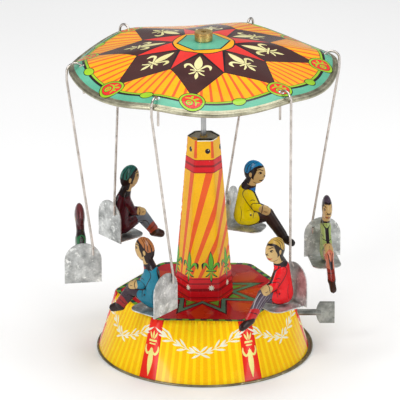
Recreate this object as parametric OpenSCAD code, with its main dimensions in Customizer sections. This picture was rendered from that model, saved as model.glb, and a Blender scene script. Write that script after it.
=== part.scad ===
// Wind-up tin swing carousel: six seated figures hang from a turning canopy above a hexagonal base.
// Millimetres, +Z up, origin at the centre of the flat underside of the base plate.
// Azimuth 0 is +X (the key side); the canopy turns clockwise seen from above.

/* [Base] */
// radius of the round bottom plate
plate_r = 61.2; // [50:0.1:75]
// thickness of the bottom plate
plate_t = 0.8; // [0.4:0.1:2]
// sideways offset of the bottom plate under the skirt
plate_shift = 0.7; // [0:0.1:2]
// radius of the rolled edge of the bottom plate
plate_bead_r = 0.7; // [0.4:0.1:1.2]
// height of the printed base top above the floor
base_h = 33; // [25:0.5:45]
// corner-to-centre radius of the hexagonal base top before rounding
base_top_r = 51.4; // [40:0.1:60]
// rounding radius of the hexagon corners
base_corner_r = 8; // [2:0.5:15]
// turn of the hexagon about the spindle
base_turn = -2; // [-10:0.5:10]
// radius of the round lower edge of the skirt
skirt_r = 59.4; // [50:0.1:70]
// sheet thickness of the base, tower, canopy and seats
sheet = 0.6; // [0.3:0.1:1]

/* [Tower] */
// corner-to-centre radius of the tower at its foot
tower_foot_r = 17; // [12:0.1:25]
// corner-to-centre radius of the tower at its top
tower_top_r = 9.3; // [6:0.1:15]
// height of the tower top above the floor
tower_top_z = 126.6; // [100:0.5:150]
// turn of the tower about its axis
tower_turn = 1.5; // [-10:0.5:10]
// rounding radius of the tower corners
tower_corner_r = 2; // [0.5:0.1:4]
// depth of the recessed tower cap
cap_depth = 0.5; // [0.5:0.1:4]
// outer radius of the bush in the tower cap
bush_r = 2.8; // [2.5:0.1:5]
// distance of the cap opening from the spindle axis
cap_open_y = 3.2; // [2.9:0.1:6]
// where the cap opening starts, left of the spindle axis
cap_open_x = 3.6; // [0:0.1:6]

/* [Spindle] */
// radius of the spindle
spindle_r = 1.5; // [1:0.05:3]
// radius of the spindle below its pinion
spindle_foot_r = 1.1; // [0.8:0.05:2]
// running clearance of every bearing bore, on the radius
run_gap = 0.05; // [0.02:0.01:0.1]
// radius of the canopy nut
nut_r = 5; // [3:0.1:8]
// height of the canopy nut
nut_h = 4.2; // [2:0.1:8]
// radius of the collar under the canopy
collar_r = 3.6; // [2.5:0.1:6]

/* [Canopy] */
// height of the canopy surface at the spindle
canopy_z = 182.9; // [150:0.1:220]
// rim radius at the six raised ridges
rim_r = 73.8; // [60:0.5:90]
// how much smaller the rim radius is halfway between two ridges
rim_scallop = 1.6; // [0:0.1:8]
// linear fall of the ridge line per millimetre of radius
fall_a = 0.1032; // [0:0.001:0.3]
// quadratic fall of the ridge line
fall_b = 0.00107; // [0:0.00001:0.004]
// radius over which the crown of the canopy is rounded
crown_soft = 6; // [0:0.5:12]
// depth of the dip between two ridges at the hook radius
dip_depth = 3.2; // [0:0.1:8]
// how quickly the dip grows with radius
dip_power = 1.4; // [1:0.1:3]
// sharpness of the ridges, smaller is sharper
ridge_soft = 0.25; // [0.05:0.05:1]
// drop of the curled edge at the rim
curl_drop = 2.3; // [0:0.1:5]
// share of the radius where the edge starts to curl
curl_start = 0.9; // [0.8:0.01:0.98]
// radius of the rolled rim
hem_r = 1.3; // [0.8:0.1:2.5]
// azimuth of the first hook
hook_turn = 8.4; // [0:0.1:60]

/* [Swings] */
// number of swings
swing_count = 6; // [6:1:6]
// radius of the hook holes from the spindle
hook_hole_r = 68; // [60:0.1:72]
// radius of the hook pivots from the spindle
hook_x = 71.6; // [66:0.1:76]
// height of the hook pivots above the floor
hook_z = 168; // [150:0.1:200]
// radius of the hanger hook
hook_bend_r = 4.7; // [3.5:0.1:6]
// radius of the hanger wire
wire_r = 0.7; // [0.4:0.05:1]
// length of the hook tail under the canopy
tail_len = 12.5; // [3:0.5:15]
// radius of the seat centre from the spindle
seat_r = 69.5; // [60:0.5:80]
// height of the seat pan underside
seat_z = 46.5; // [38:0.5:60]
// seat width
seat_w = 20.8; // [14:0.1:26]
// seat pan width
pan_w = 16.6; // [12:0.1:26]
// seat pan length, front to back
seat_len = 20; // [14:0.5:26]
// height of the arched backrest
back_h = 23.5; // [15:0.5:30]
// turn of each seat about its own vertical, starting at the first hook
seat_yaw_fl = -16; // [-30:1:30]

/* [Figures] */
// thickness of one pressed figure half
half_t = 3; // [2:0.1:5]
// head centre, forward of the seat centre
head_f = 4; // [0:0.5:8]
// head centre, above the seat pan
head_h = 34; // [28:0.5:40]
// head radius
head_r = 6.8; // [5:0.1:9]

/* [Key] */
// height of the winding axis above the floor
key_z = 21; // [15:0.5:26]
// offset of the winding axis toward the front
key_y = -2; // [-6:0.5:6]
// radius of the key shank
key_shank_r = 1.75; // [1.2:0.05:3]
// start and end of the key shank along the winding axis
key_start = 46; // [42:0.5:50]
// outer end of the key shank
key_end = 64; // [58:0.5:70]
// radius of the key wing
key_wing_r = 10.6; // [6:0.1:14]
// height of the key wing
key_wing_h = 12.6; // [8:0.1:18]

/* [Clockwork] */
// teeth of the great wheel
great_teeth = 40; // [30:1:60]
// teeth of the pinion on the second arbor
small_teeth = 8; // [6:1:12]
// pitch radius of the great wheel
great_r = 10; // [8:0.1:12]
// distance between the winding axis and the second arbor
train_gap = 12.1; // [11:0.05:14]
// teeth of the crown wheel
crown_teeth = 24; // [16:1:40]
// teeth of the spindle pinion
spindle_teeth = 8; // [6:1:12]
// mean radius of the crown teeth
crown_r = 6.5; // [5:0.1:8]
// near side of the inner motor plate
inner_x = 13; // [10:0.5:20]
// near side of the outer motor plate
outer_x = 35; // [30:0.5:40]
// radius of the winding arbor
arbor_r = 2; // [1.5:0.1:3]
// coils of the mainspring
spring_turns = 8; // [4:1:12]

/* [Hidden] */
$fn = 48;
eps = 0.01;
clear = 0.3;
skirt_z = plate_t + 0.05;
hex_steps = [0:5];
hex_c = base_top_r - base_corner_r / cos(30);
tower_foot_c = tower_foot_r - tower_corner_r / cos(30);
tower_top_c = tower_top_r - tower_corner_r / cos(30);
tower_in_r = tower_corner_r - sheet;
wire_x = hook_x + hook_bend_r;
wire_drop = 5;
bend_proud = 0.03;
small_r = great_r * small_teeth / great_teeth;
second_y = 0;
second_z = key_z - sqrt(train_gap * train_gap - (second_y - key_y) * (second_y - key_y));
mesh_turn = atan2(second_y - key_y, key_z - second_z);
crown_top = second_z + crown_r;
crown_pitch = 2 * PI * crown_r / crown_teeth;
spindle_gear_r = crown_pitch * spindle_teeth / (2 * PI);
crown_tip_x = 1.75;
crown_disc_x = 3.6;
second_r = 0.9;
pillar_r = 1.5;
pillars_yz = [[-13.5, 6], [-13.5, 28.5], [11.5, 28.5], [11.5, 6]];
plate_thick = 1;
great_x = 31;
great_t = 1.2;
ratchet_x = great_x + great_t + 0.4;
ratchet_tip = 3.9;
ratchet_root = 3.2;
ratchet_teeth = 12;
click_f = 90;
click_pin_r = 6.8;
pin_r = 0.6;
pan_top = seat_z + sheet;
back_y = seat_len / 2;
rear_y = back_y + sheet;
wire_low_y = rear_y + wire_r + 0.05;
wire_low_x = seat_r - 5.5;
wire_low_z = seat_z + 17;
ring_n = 72;
sheet_gap = 0.05;
rows = 12;
bore_r = spindle_r + run_gap;
foot_gap = 0.4;

// How far between two ridges a direction lies: 0 on a ridge, 1 halfway.
function between(a) =
  let (s = sin(3 * (a - hook_turn)))
  (sqrt(s * s + ridge_soft * ridge_soft) - ridge_soft) / (sqrt(1 + ridge_soft * ridge_soft) - ridge_soft);

// Rim radius in a direction.
function rim_at(a) = rim_r - rim_scallop * between(a);

// Height of the canopy's upper surface.
function canopy_at(r, a) =
  let (curl = max(0, (r / rim_at(a) - curl_start) / (1 - curl_start)))
  canopy_z - fall_a * (sqrt(r * r + crown_soft * crown_soft) - crown_soft) - fall_b * r * r
  - dip_depth * pow(r / hook_hole_r, dip_power) * between(a)
  - curl_drop * curl * curl;

// Points of a hexagon corner circle.
function hex_at(c, k) = [c * cos(60 * k), c * sin(60 * k)];

// Outline of a toothed wheel: four points a tooth.
function wheel_points(n, root, tip, root_w, tip_w) = [
  for (i = [0:n - 1])
    for (p = [[root, -root_w], [tip, -tip_w], [tip, tip_w], [root, root_w]])
      let (a = 360 * i / n + p[1] / 2)
      [p[0] * cos(a), p[0] * sin(a)]
];

// Stands a flat shape up so that it faces along +X at a given place on the motor.
module along_x(x, y, z) {
  translate([x, y, z])
    rotate([0, 90, 0])
      children();
}

// A round rod between two points with a slightly proud ball at each end.
module rod(p, q, r) {
  d = q - p;
  len = norm(d);
  translate(p)
    rotate([0, acos(d[2] / len), atan2(d[1], d[0])])
      cylinder(r = r, h = len);
  for (e = [p, q])
    translate(e)
      sphere(r = r + bend_proud);
}

module tapered_hex(c_low, r_low, z_low, c_high, r_high, z_high) {
  hull() {
    for (k = hex_steps)
      translate([hex_at(c_low, k)[0], hex_at(c_low, k)[1], z_low])
        cylinder(r = r_low, h = eps, $fn = 32);
    for (k = hex_steps)
      translate([hex_at(c_high, k)[0], hex_at(c_high, k)[1], z_high - eps])
        cylinder(r = r_high, h = eps, $fn = 32);
  }
}

// Radius of the rounded hexagon of the base top in a direction.
function hex_radius(a) =
  let (
    k = round(a / 60),
    d = a - 60 * k,
    side = 30 - abs(d),
    flat = base_top_r * cos(30) / cos(side),
    arc = hex_c * cos(d) + sqrt(max(0, base_corner_r * base_corner_r - pow(hex_c * sin(d), 2)))
  )
  abs(flat * sin(side)) < hex_c / 2 ? flat : arc;

// Stations from the spindle hole over the edge and down the skirt: [spread, height].
// Spread 0 is the hexagon, 1 the round lower edge; below 0 it is a share of the hexagon.
skirt_rows = 6;
edge_round = 0.9;
skirt_stations = concat(
  [for (w = [-0.8, -0.5, -0.2]) [w, base_h]],
  [for (e = [20:35:90]) [-edge_round * (1 - sin(e)) / base_top_r, base_h - edge_round * (1 - cos(e))]],
  [for (j = [1:skirt_rows]) [j / skirt_rows, base_h - edge_round - (base_h - edge_round - skirt_z) * j / skirt_rows]]
);
skirt_n = 72;
hole_r = spindle_r + 4;
function skirt_radius(w, a) =
  w < 0 ? hole_r + (hex_radius(a) - hole_r) * (1 + w) : hex_radius(a) * (1 - w) + skirt_r * w;
function skirt_ring(r_in, w, z) = [
  for (i = [0:skirt_n - 1])
    let (a = 360 * i / skirt_n, r = skirt_radius(w, a) - r_in)
    [r * cos(a), r * sin(a), z]
];
function circle_ring(r, z) = [
  for (i = [0:skirt_n - 1])
    let (a = 360 * i / skirt_n)
    [r * cos(a), r * sin(a), z]
];
skirt_rings = concat(
  [circle_ring(hole_r, base_h)],
  [for (p = skirt_stations) skirt_ring(0, p[0], p[1])],
  [for (j = [skirt_rows:-1:1]) skirt_ring(sheet, skirt_stations[j + 5][0], skirt_stations[j + 5][1])],
  [skirt_ring(sheet, 0, base_h - sheet), circle_ring(hole_r, base_h - sheet)]
);

// Faces that close a stack of equal rings into a tube whose last ring meets its first.
function loop_faces(m, n) = [
  for (j = [0:m - 1])
    for (i = [0:n - 1])
      for (t = [0, 1])
        let (
          p = j * n + i,
          q = j * n + (i + 1) % n,
          u = (j + 1) % m * n + i,
          v = (j + 1) % m * n + (i + 1) % n
        )
        t == 0 ? [p, v, u] : [p, q, v]
];

module base_plate() {
  color("dimgray")
    translate([plate_shift, 0, 0])
      difference() {
        union() {
          cylinder(r = plate_r - plate_bead_r, h = plate_t, $fn = 120);
          rotate_extrude($fn = 120)
            translate([plate_r - plate_bead_r, plate_bead_r])
              intersection() {
                circle(r = plate_bead_r, $fn = 24);
                translate([-plate_bead_r, -plate_bead_r])
                  square([2 * plate_bead_r, 2 * plate_bead_r]);
              }
        }
        for (p = foot_points)
          translate([p[0] - plate_shift, p[1], -1])
            cylinder(r = pin_r + 0.3, h = 3);
      }
}

foot_points = [
  [inner_x - 4, -9], [inner_x - 4, 8], [outer_x + plate_thick + 4, -9], [outer_x + plate_thick + 4, 8]
];
tower_slots = [30, 150, 270];

module base_skirt() {
  color("gold")
    difference() {
      rotate([0, 0, base_turn])
        polyhedron(
          points = [for (ring = skirt_rings) for (p = ring) p],
          faces = loop_faces(len(skirt_rings), skirt_n), convexity = 8
        );
      along_x(base_top_r - 6, key_y, key_z)
        cylinder(r = key_shank_r + 1.2, h = 20);
      for (a = tower_slots)
        rotate([0, 0, a + tower_turn])
          translate([tower_foot_r * cos(30) - 1.2 - 0.1, -2.7, base_h - 2])
            cube([sheet + 0.2, 5.4, 4]);
    }
}

module tower_shell() {
  color("orange")
    rotate([0, 0, tower_turn])
      union() {
        difference() {
          tapered_hex(tower_foot_c, tower_corner_r, base_h, tower_top_c, tower_corner_r, tower_top_z);
          tapered_hex(
            tower_foot_c, tower_in_r, base_h - eps,
            tower_top_c, tower_in_r, tower_top_z + eps
          );
        }
        for (a = tower_slots)
          rotate([0, 0, a])
            translate([tower_foot_r * cos(30) - 1.2, -2.5, base_h - sheet - 0.5])
              cube([sheet, 5, sheet + 1]);
      }
}

// Cap in the top of the tower, open along its front right.
module tower_cap() {
  color("gray")
    translate([0, 0, tower_top_z - cap_depth - sheet])
      difference() {
        rotate([0, 0, tower_turn])
          linear_extrude(sheet)
            circle(r = tower_top_r - sheet / cos(30) - 0.35, $fn = 6);
        translate([0, 0, -1])
          cylinder(r = bush_r - 0.6, h = 3);
        translate([-cap_open_x, -cap_open_y - 2 * tower_top_r, -1])
          cube([2 * tower_top_r, 2 * tower_top_r, 3]);
      }
}

module tower_bush() {
  color("goldenrod")
    translate([0, 0, tower_top_z - cap_depth - sheet])
      difference() {
        union() {
          translate([0, 0, -3])
            cylinder(r = bush_r, h = 3 - 0.02);
          translate([0, 0, -0.03])
            cylinder(r = bush_r - 0.65, h = sheet + 0.9);
        }
        translate([0, 0, -4])
          cylinder(r = bore_r, h = 8);
      }
}

module footstep() {
  color("goldenrod")
    translate([0, 0, plate_t])
      difference() {
        cylinder(r = 1.45, h = 1);
        translate([0, 0, 0.4])
          cylinder(r = spindle_foot_r + run_gap, h = 2);
      }
}

module motor_plate(x, foot_dir) {
  difference() {
    union() {
      translate([x, -15.5, plate_t])
        cube([plate_thick, 29, 30.6]);
      for (y = [-9, 8])
        translate([foot_dir < 0 ? x - 7 : x + plate_thick - eps, y - 3, plate_t])
          cube([7 + eps, 6, plate_thick]);
    }
    along_x(x - 1, key_y, key_z)
      cylinder(r = arbor_r + run_gap, h = 4);
    along_x(x - 1, second_y, second_z)
      cylinder(r = second_r + run_gap, h = 4);
    for (p = pillars_yz)
      along_x(x - 1, p[0], p[1])
        cylinder(r = 0.8, h = 4);
    for (p = foot_points)
      translate([p[0], p[1], 0])
        cylinder(r = pin_r + 0.02, h = 4);
  }
}

module motor_plate_inner() {
  color("silver")
    motor_plate(inner_x, -1);
}

module motor_plate_outer() {
  color("silver")
    motor_plate(outer_x, 1);
}

module motor_pillars() {
  color("silver")
    for (p = pillars_yz) {
      along_x(inner_x + plate_thick, p[0], p[1])
        cylinder(r = pillar_r, h = outer_x - inner_x - plate_thick);
      along_x(inner_x - 0.6, p[0], p[1])
        cylinder(r = 0.78, h = outer_x - inner_x + plate_thick + 1.2);
    }
}

module motor_rivets() {
  color("silver")
    for (p = foot_points)
      translate([p[0], p[1], 0.1]) {
        cylinder(r = pin_r, h = plate_t + plate_thick);
        translate([0, 0, plate_t + plate_thick - 0.1])
          cylinder(r = pin_r + 0.5, h = 0.6);
      }
}

// Flat spiral strip between the motor plates.
spring_in = arbor_r + 0.4;
spring_out = 9.9;
spring_t = 0.3;
spring_steps = 24;
function spiral(k, side) =
  let (
    a = 360 * k / spring_steps,
    r = spring_in + (spring_out - spring_in) * k / (spring_turns * spring_steps) + side * spring_t
  )
  [r * cos(a), r * sin(a)];

module mainspring() {
  color("steelblue")
    along_x(inner_x + plate_thick + 2, key_y, key_z)
      linear_extrude(13)
        polygon(concat(
          [for (k = [0:spring_turns * spring_steps]) spiral(k, 1)],
          [for (k = [spring_turns * spring_steps:-1:0]) spiral(k, 0)]
        ));
}

module winding_arbor() {
  color("silver") {
    along_x(inner_x - 1, key_y, key_z)
      cylinder(r = arbor_r, h = outer_x - inner_x + 3);
    translate([outer_x + 2 - eps, key_y - 1, key_z - 1])
      cube([key_start + 8 - outer_x - 2, 2, 2]);
  }
}

module ratchet_wheel() {
  color("silver")
    along_x(ratchet_x, key_y, key_z)
      difference() {
        linear_extrude(1)
          polygon([
            for (i = [0:ratchet_teeth - 1])
              for (p = [[ratchet_root, 0], [ratchet_tip, 2]])
                let (a = 360 * i / ratchet_teeth + p[1])
                [p[0] * cos(a), p[0] * sin(a)]
          ]);
        translate([0, 0, -1])
          cylinder(r = arbor_r + 0.01, h = 3);
      }
}

module key() {
  color("gray")
    translate([0, key_y, key_z])
      difference() {
        union() {
          along_x(key_start, 0, 0)
            cylinder(r = key_shank_r, h = key_end - key_start + 2);
          rotate([90, 0, 0])
            linear_extrude(1.6, center = true)
              intersection() {
                translate([key_end + key_wing_r - 0.5, 0])
                  circle(r = key_wing_r, $fn = 96);
                translate([key_end - 0.8, -key_wing_h / 2])
                  square([10.8, key_wing_h]);
              }
        }
        translate([key_start - 1, -1.02, -1.02])
          cube([9.2, 2.04, 2.04]);
      }
}

module great_wheel() {
  color("goldenrod")
    along_x(great_x, key_y, key_z)
      difference() {
        union() {
          rotate([0, 0, mesh_turn])
            linear_extrude(great_t)
              polygon(wheel_points(great_teeth, great_r - 0.7, great_r + 0.35, 4.2, 2.2));
          translate([0, 0, -0.8])
            cylinder(r = arbor_r + 1.2, h = 0.8 + eps);
        }
        translate([0, 0, -2])
          cylinder(r = arbor_r + run_gap, h = 5);
        rotate([0, 0, click_f])
          translate([click_pin_r, 0, -1])
            cylinder(r = pin_r - 0.1, h = 4);
      }
}

// Shouldered pin that carries the click on the great wheel.
module click_pin() {
  color("silver")
    along_x(great_x, key_y, key_z)
      rotate([0, 0, click_f])
        translate([click_pin_r, 0, 0]) {
          cylinder(r = pin_r - 0.12, h = great_t + eps);
          translate([0, 0, great_t])
            cylinder(r = pin_r, h = 1.7);
          translate([0, 0, great_t + 1.65])
            cylinder(r = pin_r + 0.45, h = 0.3);
        }
}

module click() {
  color("dimgray")
    along_x(ratchet_x, key_y, key_z)
      rotate([0, 0, click_f])
        translate([click_pin_r, 0, 0])
          difference() {
            union() {
              cylinder(r = 1.35, h = 0.9);
              linear_extrude(0.9)
                polygon([[-1.2, -0.2], [0.9, -0.1], [-2.9, -3.9], [-4.1, -3.5]]);
            }
            translate([0, 0, -1])
              cylinder(r = pin_r + run_gap, h = 3);
          }
}

// Light strip spring standing behind the click.
module click_spring() {
  color("silver")
    along_x(great_x + great_t, key_y, key_z)
      rotate([0, 0, click_f])
        translate([click_pin_r, 0, 0]) {
          translate([-2.6, -5.6, 0]) {
            cylinder(r = 0.45, h = 1.4);
            rotate([0, 0, 45])
              translate([0, -0.15, 0.2])
                cube([5.8, 0.3, 1.2]);
          }
        }
}

module second_arbor() {
  color("silver")
    along_x(0, second_y, second_z)
      union() {
        translate([0, 0, crown_disc_x - 0.6])
          cylinder(r = second_r, h = outer_x + 2 - crown_disc_x);
        translate([0, 0, great_x - 0.4])
          rotate([0, 0, mesh_turn + 180 + 180 / small_teeth])
            linear_extrude(2)
              polygon(wheel_points(small_teeth, 1.3, small_r + 0.5, 24, 9));
      }
}

module crown_wheel() {
  color("goldenrod")
    along_x(0, second_y, second_z)
      difference() {
        union() {
          translate([0, 0, crown_disc_x])
            cylinder(r = crown_r + 0.6, h = 1);
          translate([0, 0, crown_disc_x + 1 - eps])
            cylinder(r = 2, h = 1.6);
          for (i = [0:crown_teeth - 1])
            rotate([0, 0, 360 * i / crown_teeth])
              translate([crown_r - 0.6, -0.25, crown_tip_x])
                cube([1.2, 0.5, crown_disc_x - crown_tip_x + 0.1]);
        }
        translate([0, 0, crown_disc_x - 1])
          cylinder(r = second_r + 0.01, h = 5);
      }
}

module spindle() {
  color("silver") {
    translate([0, 0, plate_t + 0.45])
      cylinder(r = spindle_foot_r, h = 13);
    translate([0, 0, plate_t + 13.4])
      cylinder(r = spindle_r, h = canopy_z - plate_t - 13.4 + nut_h - 0.4);
  }
}

module spindle_pinion() {
  color("goldenrod")
    translate([0, 0, crown_top - 1])
      difference() {
        rotate([0, 0, 180 / spindle_teeth])
          linear_extrude(2.4)
            polygon(wheel_points(spindle_teeth, 1.75, spindle_gear_r + 0.45, 14, 8));
        translate([0, 0, -1])
          cylinder(r = spindle_r + 0.01, h = 5);
      }
}

module canopy_collar() {
  color("silver")
    translate([0, 0, canopy_z - sheet - 6.4])
      difference() {
        union() {
          cylinder(r = collar_r - 1, h = 6);
          translate([0, 0, 4.9])
            cylinder(r = collar_r, h = 0.9);
        }
        translate([0, 0, -1])
          cylinder(r = spindle_r + 0.01, h = 9);
      }
}

function shell_row(j, a, gap) = bore_r + (rim_at(a) - gap - bore_r) * pow(j / rows, 0.85);
function shell_ring(j, lift) = [
  for (i = [0:ring_n - 1])
    let (a = 360 * i / ring_n, r = shell_row(j, a, hem_r + sheet_gap))
    [r * cos(a), r * sin(a), canopy_at(r, a) - lift]
];
shell_rings = concat(
  [for (j = [0:rows]) shell_ring(j, 0)],
  [for (j = [rows:-1:0]) shell_ring(j, sheet)]
);

module canopy_shell() {
  color("tomato")
    difference() {
      polyhedron(
        points = [for (ring = shell_rings) for (p = ring) p],
        faces = loop_faces(len(shell_rings), ring_n), convexity = 8
      );
      for (k = [0:swing_count - 1])
        rotate([0, 0, hook_turn + 60 * k])
          translate([hook_hole_r, 0, hook_z - 8])
            cylinder(r = wire_r + 0.9, h = 16, $fn = 32);
    }
}

hem_n = 12;
hem_rings = [
  for (k = [0:hem_n - 1])
    [
      for (i = [0:ring_n - 1])
        let (a = 360 * i / ring_n, b = -360 * k / hem_n, r = rim_at(a), p = r + hem_r * cos(b))
        [p * cos(a), p * sin(a), canopy_at(r, a) - sheet / 2 + hem_r * sin(b)]
    ]
];

module canopy_hem() {
  color("tan")
    polyhedron(
      points = [for (ring = hem_rings) for (p = ring) p],
      faces = loop_faces(hem_n, ring_n), convexity = 8
    );
}

module canopy_washer() {
  color("goldenrod")
    translate([0, 0, canopy_z + 0.02])
      difference() {
        cylinder(r = nut_r - 0.2, h = 0.5);
        translate([0, 0, -1])
          cylinder(r = spindle_r + 0.02, h = 3);
      }
}

module canopy_nut() {
  color("goldenrod")
    translate([0, 0, canopy_z + 0.54])
      difference() {
        cylinder(r = nut_r, h = nut_h);
        translate([0, 0, -1])
          cylinder(r = spindle_r + 0.01, h = nut_h + 2);
      }
}

// Places a part made at azimuth 0 at its own hook.
module at_hook(k) {
  rotate([0, 0, hook_turn + 60 * (k - 1)])
    children();
}

// How far each wire is bent sideways at its foot, starting at the first hook.
sway = [0, 0, 3, 0, -4, -1];
function foot_y(k) = wire_low_y + sway[k - 1];

// Turns a seat with its figure about the lower end of its wire.
function yaw_of(k) = k == 5 ? seat_yaw_fl : 0;
module yawed(k) {
  translate([wire_low_x, foot_y(k), 0])
    rotate([0, 0, yaw_of(k)])
      translate([-wire_low_x, -wire_low_y, 0])
        children();
}

module hanger(k) {
  color("silver")
    at_hook(k) {
      rod([hook_x - hook_bend_r, 0, hook_z - tail_len], [hook_x - hook_bend_r, 0, hook_z], wire_r);
      translate([hook_x, 0, hook_z])
        rotate([90, 0, 0])
          rotate_extrude(angle = 180)
            translate([hook_bend_r, 0])
              circle(r = wire_r, $fn = 24);
      rod([wire_x, 0, hook_z], [wire_x, 0, hook_z - wire_drop], wire_r);
      rod([wire_x, 0, hook_z - wire_drop], [wire_low_x, foot_y(k), wire_low_z + 4], wire_r);
      rod([wire_low_x, foot_y(k), wire_low_z + 4], [wire_low_x, foot_y(k), wire_low_z], wire_r);
      yawed(k) {
        rod(
          [wire_low_x, wire_low_y, wire_low_z],
          [wire_low_x, back_y - wire_r - 0.1, wire_low_z], wire_r
        );
        rod(
          [wire_low_x, back_y - wire_r - 0.1, wire_low_z],
          [wire_low_x, back_y - wire_r - 0.1, wire_low_z - 2], wire_r
        );
      }
    }
}

module pan_outline() {
  half = pan_w / 2;
  front = 6;
  union() {
    translate([-half, -seat_len / 2 + front])
      square([pan_w, seat_len - front]);
    translate([-half + front, -seat_len / 2])
      square([pan_w - 2 * front, front + eps]);
    for (s = [-1, 1])
      translate([s * (half - front), -seat_len / 2 + front])
        circle(r = front);
  }
}

module back_outline() {
  half = seat_w / 2;
  union() {
    translate([-half, 0])
      square([seat_w, back_h - half]);
    translate([0, back_h - half])
      circle(r = half);
  }
}

tab_f = [-4, 4];
module seat(k) {
  color("lightgray")
    at_hook(k)
      yawed(k)
        translate([seat_r, 0, seat_z])
          difference() {
            union() {
              linear_extrude(sheet)
                pan_outline();
              translate([0, rear_y, 0])
                rotate([90, 0, 0])
                  linear_extrude(sheet)
                    back_outline();
            }
            for (f = tab_f)
              translate([-0.4, -f - 1.4, -1])
                cube([0.8, 2.8, 3]);
            for (s = [-1, 1])
              translate([s * 6.5, back_y - 1.5, -1])
                cylinder(r = 0.8, h = 3);
            translate([wire_low_x - seat_r, back_y - 1, wire_low_z - seat_z])
              rotate([-90, 0, 0])
                cylinder(r = wire_r + 0.08, h = 3);
          }
}

// Side outline of a seated figure: x is forward, y is up from the seat pan.
limbs = [
  [[-3.2, 5.9], 5.7, [-0.8, 21.5], 5.1],
  [[-0.8, 21.5], 5.1, [1.8, 28.1], 3.4],
  [[0, 5.1], 4.9, [12, 9.2], 4.1],
  [[12, 9.2], 4, [21.2, -2.4], 3.1],
  [[21.2, -3.6], 2.9, [26.8, -6.4], 2.3],
  [[1, 20.6], 3.3, [5.2, 13], 2.8],
  [[5.2, 13], 2.7, [11, 12], 2.1]
];

module figure_outline(inset) {
  for (s = limbs)
    hull() {
      translate(s[0])
        circle(r = s[1] - inset, $fn = 16);
      translate(s[2])
        circle(r = s[3] - inset, $fn = 16);
    }
  translate([head_f, head_h])
    scale([0.98, 1.06])
      circle(r = head_r - inset, $fn = 20);
}

module figure_half(k, side) {
  at_hook(k)
    yawed(k)
      translate([seat_r, 0, pan_top + 0.05])
        mirror([side > 0 ? 1 : 0, 0, 0])
          rotate([0, 0, -90])
            rotate([90, 0, 0])
              union() {
                difference() {
                  union() {
                    linear_extrude(half_t * 0.6)
                      figure_outline(0);
                    translate([0, 0, 0.5])
                      linear_extrude(half_t - 0.5)
                        figure_outline(0.9);
                  }
                  translate([0, 0, -1])
                    linear_extrude(half_t * 0.8 + 1)
                      figure_outline(1.4);
                }
                if (side < 0)
                  for (f = tab_f)
                    translate([f - 1.2, -1.6, 0])
                      cube([2.4, 2.9, 0.35]);
              }
}

module hanger_1() { hanger(1); }
module hanger_2() { hanger(2); }
module hanger_3() { hanger(3); }
module hanger_4() { hanger(4); }
module hanger_5() { hanger(5); }
module hanger_6() { hanger(6); }
module seat_1() { seat(1); }
module seat_2() { seat(2); }
module seat_3() { seat(3); }
module seat_4() { seat(4); }
module seat_5() { seat(5); }
module seat_6() { seat(6); }
module figure_1_inner() { color("seagreen") figure_half(1, -1); }
module figure_2_inner() { color("gold") figure_half(2, -1); }
module figure_3_inner() { color("maroon") figure_half(3, -1); }
module figure_4_inner() { color("darkgreen") figure_half(4, -1); }
module figure_5_inner() { color("teal") figure_half(5, -1); }
module figure_6_inner() { color("red") figure_half(6, -1); }
module figure_1_outer() { color("seagreen") figure_half(1, 1); }
module figure_2_outer() { color("gold") figure_half(2, 1); }
module figure_3_outer() { color("maroon") figure_half(3, 1); }
module figure_4_outer() { color("darkgreen") figure_half(4, 1); }
module figure_5_outer() { color("teal") figure_half(5, 1); }
module figure_6_outer() { color("red") figure_half(6, 1); }

base_plate();
base_skirt();
tower_shell();
tower_cap();
tower_bush();
footstep();
motor_plate_inner();
motor_plate_outer();
motor_pillars();
motor_rivets();
mainspring();
winding_arbor();
ratchet_wheel();
key();
great_wheel();
click_pin();
click_spring();
click();
second_arbor();
crown_wheel();
spindle();
spindle_pinion();
canopy_collar();
canopy_shell();
canopy_hem();
canopy_washer();
canopy_nut();
hanger_1();
hanger_2();
hanger_3();
hanger_4();
hanger_5();
hanger_6();
seat_1();
seat_2();
seat_3();
seat_4();
seat_5();
seat_6();
figure_1_inner();
figure_2_inner();
figure_3_inner();
figure_4_inner();
figure_5_inner();
figure_6_inner();
figure_1_outer();
figure_2_outer();
figure_3_outer();
figure_4_outer();
figure_5_outer();
figure_6_outer();
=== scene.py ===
import math

import bpy
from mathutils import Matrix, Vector
from mathutils.geometry import delaunay_2d_cdt


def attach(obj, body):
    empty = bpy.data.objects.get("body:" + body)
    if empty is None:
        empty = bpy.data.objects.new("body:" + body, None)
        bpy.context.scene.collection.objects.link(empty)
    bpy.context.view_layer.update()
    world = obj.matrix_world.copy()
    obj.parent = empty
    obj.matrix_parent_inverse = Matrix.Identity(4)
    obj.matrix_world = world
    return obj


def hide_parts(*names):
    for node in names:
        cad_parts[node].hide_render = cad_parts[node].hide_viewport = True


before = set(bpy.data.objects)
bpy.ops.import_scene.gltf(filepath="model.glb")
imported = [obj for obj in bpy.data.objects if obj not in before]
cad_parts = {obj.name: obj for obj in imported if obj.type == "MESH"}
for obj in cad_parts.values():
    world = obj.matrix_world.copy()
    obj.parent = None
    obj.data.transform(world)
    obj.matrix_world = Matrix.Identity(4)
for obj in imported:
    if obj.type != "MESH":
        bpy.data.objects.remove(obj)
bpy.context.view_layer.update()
MM = 0.001

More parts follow.
